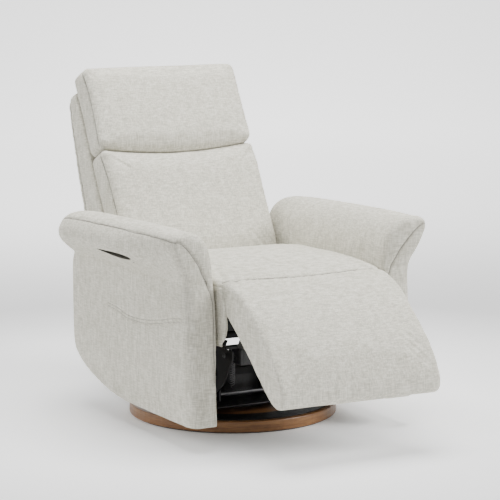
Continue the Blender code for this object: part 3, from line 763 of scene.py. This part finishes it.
def build_back_cushion():
    """A crowned cushion whose top edge sags with the seam, and whose lower edge tucks in behind the seat."""
    low, high = (-BACK_HALF, -0.004, -0.030), (BACK_HALF, 0.104, HEAD_SEAM - 0.001)
    obj = rounded_block("back_cushion_cover", low, high, 0.020, FABRIC, BACK)

    def sagging(z):
        return np.interp(z, (0.20, HEAD_SEAM), (0, 1))

    def pushed_back(z):
        lean = 0.012 * np.interp(z, (0.30, 0.39), (0, 1)) ** 2
        tuck = 0.014 * np.interp(z, (-0.02, 0.07), (1, 0))
        return lean + tuck

    shape = cushion_shape(0.016, 0.17, 0.215, 0.6, sagging, pushed_back)
    seams = side_seams([(0.016, -0.02), (0.014, 0.15), (0.020, 0.30), (0.034, 0.372)])
    paths = upholster(obj, seams, shape, relax=5, seed=11, swell=0.0009, pucker=0.0010, front=BACK_FRONT)
    return finish_soft(obj, "backrest", ["back_cushion"], paths)


def build_headrest():
    """A crowned cushion whose lower edge sags with the seam, and whose top edge leans back."""
    low, high = (-BACK_HALF, -0.002, HEAD_SEAM + 0.001), (BACK_HALF, 0.102, HEAD_TOP)
    obj = rounded_block("headrest_cover", low, high, 0.020, FABRIC, BACK)
    middle, half = (HEAD_SEAM + HEAD_TOP) / 2, (HEAD_TOP - HEAD_SEAM) / 2

    def sagging(z):
        return np.interp(z, (HEAD_SEAM, middle), (1, 0))

    def pushed_back(z):
        return 0.014 * np.interp(z, (0.60, 0.66), (0, 1)) ** 2

    shape = cushion_shape(0.012, middle - 0.02, half + 0.02, 0.7, sagging, pushed_back)
    seams = side_seams([(0.028, 0.400), (0.020, 0.48), (0.021, 0.58), (0.034, 0.648)])
    paths = upholster(obj, seams, shape, relax=5, seed=12, swell=0.0008, pucker=0.0010, front=BACK_FRONT)
    return finish_soft(obj, "headrest", ["headrest_cushion"], paths)


def build_back_shell():
    """The cover of the shell behind the cushion, with a sewn panel on its rear face."""
    obj = NODES["back_shell"].copy()
    obj.data = NODES["back_shell"].data.copy()
    obj.name = "back_shell_cover"
    obj.parent = None
    obj.hide_render = False
    bpy.context.scene.collection.objects.link(obj)
    obj.data.materials.clear()
    obj.data.materials.append(FABRIC)
    seams = []
    for sign in (-1, 1):
        x = sign * BACK_HALF
        seams.append(back_path([(x, 0.226, -0.04), (x, 0.200, 0.28), (x, 0.167, 0.54), (x, 0.152, 0.60)]))
    panel_low, panel_high, panel_half, steps = 0.030, 0.560, 0.225, 12
    across = [-0.252 + 0.504 * i / steps for i in range(steps + 1)]
    seams.append(back_path([(x, 0.300, panel_low) for x in across]))
    seams.append(back_path([(x, 0.250, panel_high) for x in across]))
    heights = [panel_low + (panel_high - panel_low) * i / steps for i in range(steps + 1)]
    for sign in (-1, 1):
        seams.append(back_path([(sign * panel_half, 0.320, z) for z in heights]))

    def shape(where):
        local = into(BACK, where)
        x, y, z = local.T
        rear = np.clip((y - 0.115) / 0.08, 0, 1)
        return out_of(BACK, np.stack([x * (1 + 0.014 * rear), y + 0.011 * rear, z], axis=1))

    paths = upholster(obj, seams, shape, relax=5, seed=13, swell=0.0006)
    return finish_soft(obj, "backrest", ["back_shell"], paths)


# ------------------------------------------------------------------ seat and footrest
def seat_seam_y(x):
    """The cross seam at the seat's front, bowed forward in the middle."""
    return -0.404 - 0.030 * (1 - (np.asarray(x) / 0.25) ** 2)


CHAISE_HALF = 0.262  # of the cover's width at the seat
CHAISE_HALF_AT_FOOT = 0.250


def build_chaise():
    """One cover from the rear of the seat over its rounded front and down the whole footrest."""
    seat = [(0.130, 0.420), (0.119, 0.446), (0.088, 0.461), (0.0, 0.467), (-0.15, 0.470), (-0.30, 0.469),
            (-0.370, 0.464)]
    top = [(-0.404, 0.459), (-0.440, 0.455), (-0.480, 0.443), (-0.518, 0.422), (-0.569, 0.382),
           (-0.619, 0.340), (-0.669, 0.291), (-0.706, 0.243), (-0.724, 0.200), (-0.716, 0.170)]
    under = [(-0.690, 0.160), (-0.655, 0.178), (-0.612, 0.212), (-0.560, 0.258), (-0.505, 0.305),
             (-0.452, 0.352), (-0.418, 0.378), (-0.380, 0.388), (-0.150, 0.389), (0.130, 0.389)]
    outline = smooth_ring(seat + top + under, (0, len(seat + top), len(seat + top + under) - 1), 5)
    edge = [(-1, 0.0), (-1, 0.55), (-0.993, 0.8), (-0.975, 0.93), (-0.945, 1.0)]
    stations = edge + [(-0.9 + 0.1 * i, 1.0) for i in range(19)] + [(-x, s) for x, s in reversed(edge)]
    rings = []
    for x, fullness in stations:
        ring = []
        for p in outline:
            centre = Vector((-0.56, 0.315)) if p.x < -0.42 else Vector((max(-0.38, min(0.10, p.x)), 0.425))
            q = p - (p - centre).normalized() * 0.013 * (1 - fullness)
            half = np.interp(p.x, (-0.46, -0.38), (CHAISE_HALF_AT_FOOT, CHAISE_HALF))
            ring.append((x * half, q.x, q.y))
        rings.append(ring)
    obj = loft("seat_and_footrest_cover", rings, FABRIC)
    lift = FOOT.to_3x3() @ Vector((0, -1, 0))

    def shape(where):
        x, y, z = where.T
        local = into(FOOT, where)
        across = np.sqrt(np.clip(1 - (x / CHAISE_HALF) ** 2, 0, 1))
        on_foot = np.clip((-0.44 - y) / 0.06, 0, 1)
        front = np.clip(-local[:, 1] / 0.06, 0, 1) * on_foot
        along = np.interp(-local[:, 2], (-0.06, 0.02, 0.12, 0.24, 0.34), (0.6, 0.8, 1.0, 0.9, 0.15))
        crown = 0.016 * across * along * front
        on_seat = np.clip((z - 0.41) / 0.05, 0, 1) * (1 - on_foot)
        rise = np.interp(y, (-0.50, -0.40, -0.32, -0.18, 0.0, 0.12), (0.6, 0.55, 0.8, 1.0, 0.8, 0.0))
        return np.stack([x, y + lift.y * crown, z + lift.z * crown + 0.025 * across * rise * on_seat], axis=1)

    xs = [CHAISE_HALF * t / 10 for t in range(-10, 11)]
    cross = [(x, float(seat_seam_y(x)), 0.480) for x in xs]
    upper_side = Vector((0, -0.5, 0.87))
    paths = upholster(obj, [cross], shape, relax=4, seed=22, swell=0.0010, groove=0.0030, front=upper_side,
                      cap=0.004)
    stitches = [thread(obj, path) for path in paths]
    for piece in stitches:
        piece.parent = None
    for piece in [obj] + stitches:
        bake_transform(piece)
    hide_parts("seat_cushion", "footrest_pad", "footrest_board", "seat_nose")
    return obj


def build_aprons():
    """The padded skirts at the seat's sides, outside the cover and inside the arms."""
    for side, sign in SIDES.items():
        outline = [(0.125, 0.450), (0.125, 0.290)]
        corner = [math.radians(270 - 15 * i) for i in range(7)]
        outline += [(-0.375 + 0.062 * math.cos(a), 0.345 + 0.062 * math.sin(a)) for a in corner]
        outline += [(-0.430, 0.400), (-0.412, 0.450)]
        ring = smooth_ring(outline, (0, 1, len(outline) - 1), 3)
        middle_y, middle_z = -0.15, 0.37
        rings = []
        for x, inset in ((0.2515, 0.004), (0.2525, 0.001), (0.257, 0.0), (0.2615, 0.001), (0.263, 0.004)):
            rings.append([(sign * x, p.x + math.copysign(inset, middle_y - p.x),
                           p.y + math.copysign(inset, middle_z - p.y)) for p in ring])
        obj = loft(f"seat_apron_{side}", rings, FABRIC)
        upholster(obj, (), relax=2, seed=31, swell=0.0005)
        finish_soft(obj, "seat_frame", [f"seat_rail_{side}"])


# ------------------------------------------------------------------ mechanism details
def tube(name, path, radius, material, body, smooth_per=6):
    """A cable, rod or wire along a path."""
    points = curve_through(path, smooth_per) if smooth_per else path
    curve = round_curve(name, points, radius, 3 if FINE else 1, material)
    curve.use_fill_caps = True
    piece = as_mesh_object(curve)
    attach(piece, body)
    return piece


def coil_spring(name, start, end, radius, wire, turns, body):
    """A wound spring with a straight hook at both ends."""
    start, end = Vector(start), Vector(end)
    axis = (end - start).normalized()
    side = axis.orthogonal().normalized()
    other = axis.cross(side)
    steps = turns * (14 if FINE else 8)
    path = [start]
    for i in range(steps + 1):
        turn = 2 * math.pi * turns * i / steps
        along = start.lerp(end, 0.12 + 0.76 * i / steps)
        path.append(along + side * radius * math.cos(turn) + other * radius * math.sin(turn))
    return tube(name, path + [end], wire, ZINC, body, 0)


def bolt(name, at, direction, size, body):
    """A hexagon head on a washer. direction is the way the head faces."""
    turn = Vector(direction).to_track_quat("Z", "Y").to_matrix().to_4x4()
    washer, head = 0.0012, size * 0.5
    shape = bmesh.new()
    bmesh.ops.create_cone(shape, cap_ends=True, segments=24, radius1=size, radius2=size * 0.97, depth=washer,
                          matrix=Matrix.Translation((0, 0, washer / 2)))
    bmesh.ops.create_cone(shape, cap_ends=True, segments=6, radius1=size * 0.72, radius2=size * 0.66,
                          depth=head, matrix=Matrix.Translation((0, 0, washer + head / 2)))
    mesh = bpy.data.meshes.new(name)
    shape.to_mesh(mesh)
    shape.free()
    mesh.transform(Matrix.Translation(at) @ turn)
    piece = bpy.data.objects.new(name, mesh)
    bpy.context.scene.collection.objects.link(piece)
    mesh.materials.append(ZINC)
    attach(piece, body)


DECK_CHANNEL_BOTTOM = 0.306
SPREADER_Y = -0.300
PACK_LOW = 0.205
CABLES = {
    "footrest_cable": (0.0032, [(-0.066, -0.262, 0.225), (-0.040, -0.258, 0.205), (-0.018, -0.262, 0.235),
                                (-0.016, -0.255, 0.284)]),
    "recline_cable": (0.0030, [(-0.066, -0.250, 0.240), (-0.020, -0.220, 0.222), (0.015, -0.150, 0.240),
                               (0.028, -0.09, 0.284)]),
    "control_cable": (0.0028, [(-0.100, -0.245, 0.215), (-0.140, -0.235, 0.218), (-0.182, -0.250, 0.262),
                               (-0.232, -0.200, 0.300)]),
    "inlet_cable": (0.0030, [(0.028, -0.02, 0.284), (0.060, 0.04, 0.270), (0.095, 0.095, 0.292),
                             (0.115, 0.132, 0.276)]),
}


def seat_frame_block(name, low, high, radius, material, segments=4):
    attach(rounded_block(name, low, high, radius, material, segments=segments), "seat_frame")


def build_deck_and_spreader():
    """The deck's channel beside the footrest drive, and the flat bar across both mechanism plates."""
    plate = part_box("mechanism_plate_left")[1]
    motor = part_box("footrest_motor")
    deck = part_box("seat_webbing")[0][2]
    spans = ((-0.238, motor[0][0] - 0.006), (motor[1][0] + 0.006, 0.238))
    for index, (a, b) in enumerate(spans):
        seat_frame_block(f"deck_channel_{index}", (a, SPREADER_Y - 0.013, DECK_CHANNEL_BOTTOM),
                         (b, SPREADER_Y + 0.013, deck - 0.001), 0.003, STEEL)
    seat_frame_block("spreader_bar", (-plate[0] - 0.004, SPREADER_Y - 0.012, plate[2] + 0.0005),
                     (plate[0] + 0.004, SPREADER_Y + 0.012, plate[2] + 0.0085), 0.002, STEEL)


def build_power_pack():
    """The box that feeds the drives, ribbed in front."""
    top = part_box("mechanism_plate_left")[1][2]
    seat_frame_block("power_pack", (-0.150, SPREADER_Y - 0.020, PACK_LOW), (-0.062, SPREADER_Y + 0.055, top),
                     0.006, PLASTIC)
    for i in range(4):
        x = -0.140 + 0.022 * i
        seat_frame_block(f"power_pack_rib_{i}", (x, SPREADER_Y - 0.022, 0.212),
                         (x + 0.010, SPREADER_Y - 0.0195, 0.247), 0.001, PLASTIC, segments=2)


def build_seat_frame_details():
    """What hangs under the seat: channel, spreader, power pack, springs, bolt heads and cables."""
    build_deck_and_spreader()
    build_power_pack()
    plate_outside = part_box("mechanism_plate_left")[1][0] + 0.0002
    for side, sign in SIDES.items():
        coil_spring(f"lift_spring_{side}", (sign * 0.168, SPREADER_Y, 0.252), (sign * 0.106, -0.186, 0.115),
                    0.009, 0.0014, 13, "seat_frame")
        for y in (SPREADER_Y, -0.10, 0.09):
            bolt(f"plate_bolt_{side}_{round(abs(y) * 1000)}", (sign * plate_outside, y, 0.235), (sign, 0, 0),
                 0.007, "seat_frame")
    for name, (radius, path) in CABLES.items():
        tube(name, path, radius, PLASTIC, "seat_frame")


LINK_PIVOT_Z = 0.185


def build_glider_details():
    """Bolt heads where the hanging links turn, and on the turntable's plate."""
    for side, sign in SIDES.items():
        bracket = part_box(f"glider_bracket_{side}")
        outer = max(abs(bracket[0][0]), abs(bracket[1][0]))
        for end, y in (("front", -0.13), ("rear", 0.13)):
            bolt(f"stud_nut_{side}_{end}", (sign * outer, y, LINK_PIVOT_Z), (sign, 0, 0), 0.009, "turntable")
            bolt(f"plate_screw_{side}_{end}", (sign * 0.158, y * 1.2, 0.0635), (0, 0, 1), 0.007, "turntable")


# ------------------------------------------------------------------ studio
def build_camera():
    """The camera that sees the chair as the photograph does."""
    data = bpy.data.cameras.new("studio_camera")
    data.lens = 155.3
    data.sensor_width = 36
    camera = bpy.data.objects.new("studio_camera", data)
    bpy.context.scene.collection.objects.link(camera)
    camera.location = (-2.9933, -5.4730, 1.4068)
    camera.rotation_euler = (math.radians(90 - 8.455), 0, math.radians(-29.14))
    bpy.context.scene.camera = camera


def area_light(name, location, target, size, power):
    data = bpy.data.lights.new(name, "AREA")
    data.shape = "SQUARE"
    data.size = size
    data.energy = power
    light = bpy.data.objects.new(name, data)
    bpy.context.scene.collection.objects.link(light)
    light.location = location
    light.rotation_euler = (Vector(target) - Vector(location)).to_track_quat("-Z", "Y").to_euler()


def spherical_pool(nodes, links, coords, centre, radius):
    """A value that falls from 1 at a centre to 0 at a radius."""
    mapping = nodes.new("ShaderNodeMapping")
    mapping.inputs["Scale"].default_value = (1 / radius,) * 3
    mapping.inputs["Location"].default_value = tuple(-c / radius for c in centre)
    links.new(coords, mapping.inputs["Vector"])
    pool = nodes.new("ShaderNodeTexGradient")
    pool.gradient_type = "SPHERICAL"
    links.new(mapping.outputs["Vector"], pool.inputs["Vector"])
    return pool.outputs["Fac"]


def paper_painted_light_material():
    """Pale paper with painted light: its colour is brighter towards the chair as a painted pool of light, it glows
    round the chair, most about 0.6 m out and hardly at all right under the chair as a painted shadow, and it glows
    more on the wall behind it.
    """
    made, nodes, links, shader = new_material("paper_sweep_painted_light")
    coords = nodes.new("ShaderNodeTexCoord").outputs["Object"]
    pool = spherical_pool(nodes, links, coords, (0, 0, 0), 1.9)
    painted_backdrop_glow = spherical_pool(nodes, links, coords, (4.5, 8.0, 0.6), 9.5)
    # painted pool of light: the paper's colour is brighter towards the chair
    pale = [(0.0, (0.45,) * 3), (0.35, (0.72,) * 3), (1.0, (0.90,) * 3)]
    links.new(ramp(nodes, links, pool, pale), shader.inputs["Base Color"])
    # painted light and painted shadow: the glow is strongest about 0.6 m from the chair and nearly gone right
    # under it
    painted_glow_and_shadow = [(at, (value,) * 3) for at, value in ((0.0, 0.13), (0.35, 0.27), (0.55, 0.42), (0.68, 0.50),
                                                 (0.76, 0.36), (0.86, 0.04))]
    # painted light on the wall far behind the chair
    behind = blend_value(nodes, links, painted_backdrop_glow, 2.2, "MULTIPLY")
    both = blend_value(nodes, links, ramp(nodes, links, pool, painted_glow_and_shadow), behind, "ADD")
    shader.inputs["Emission Color"].default_value = (1, 1, 1, 1)
    links.new(both, shader.inputs["Emission Strength"])
    shader.inputs["Roughness"].default_value = 0.9
    shader.inputs["Specular IOR Level"].default_value = 0.1
    return made


def build_sweep():
    """A pale bowl: a round floor that curves up into a wall all round the chair and the camera."""
    flat, bend, top, spokes = 9, 4, 16, 96
    profile = [(0.02, 0), (1.5, 0), (5, 0), (flat, 0)]
    turns = [i * math.pi / 24 for i in range(1, 13)]
    profile += [(flat + bend * math.sin(t), bend - bend * math.cos(t)) for t in turns]
    profile += [(flat + bend, top)]
    angles = [2 * math.pi * k / spokes for k in range(spokes)]
    points = [(r * math.cos(a), r * math.sin(a), z) for r, z in profile for a in angles]
    faces = []
    for start in range(0, (len(profile) - 1) * spokes, spokes):
        for k in range(spokes):
            following = (k + 1) % spokes
            faces.append((start + k, start + following, start + spokes + following, start + spokes + k))
    faces.append(tuple(range(spokes)))
    sweep = mesh_piece("studio_sweep", points, faces, paper_painted_light_material())
    sweep.data.shade_smooth()


def build_lights():
    """A weak white sky, and four soft lamps."""
    world = bpy.data.worlds.new("studio_world")
    world.use_nodes = True
    sky = world.node_tree.nodes["Background"]
    sky.inputs["Color"].default_value = (1, 1, 1, 1)
    sky.inputs["Strength"].default_value = 0.05
    bpy.context.scene.world = world
    area_light("key_right", (2.9, -3.2, 2.7), (0, -0.1, 0.45), 1.8, 235)
    area_light("overhead", (0.0, -0.1, 3.6), (0, 0, 0.3), 2.4, 215)
    area_light("side_left", (-3.6, 1.0, 2.0), (0, 0, 0.4), 2.6, 105)
    area_light("back_wash", (1.4, 3.4, 3.4), (3.0, 8.0, 0.5), 3.0, 380)


# ------------------------------------------------------------------ the whole chair
dress_cad_nodes()
build_camera()
build_sweep()
build_lights()
for arm_side in SIDES:
    build_arm(arm_side)
build_back_cushion()
build_headrest()
build_back_shell()
build_chaise()
build_aprons()
build_seat_frame_details()
build_glider_details()
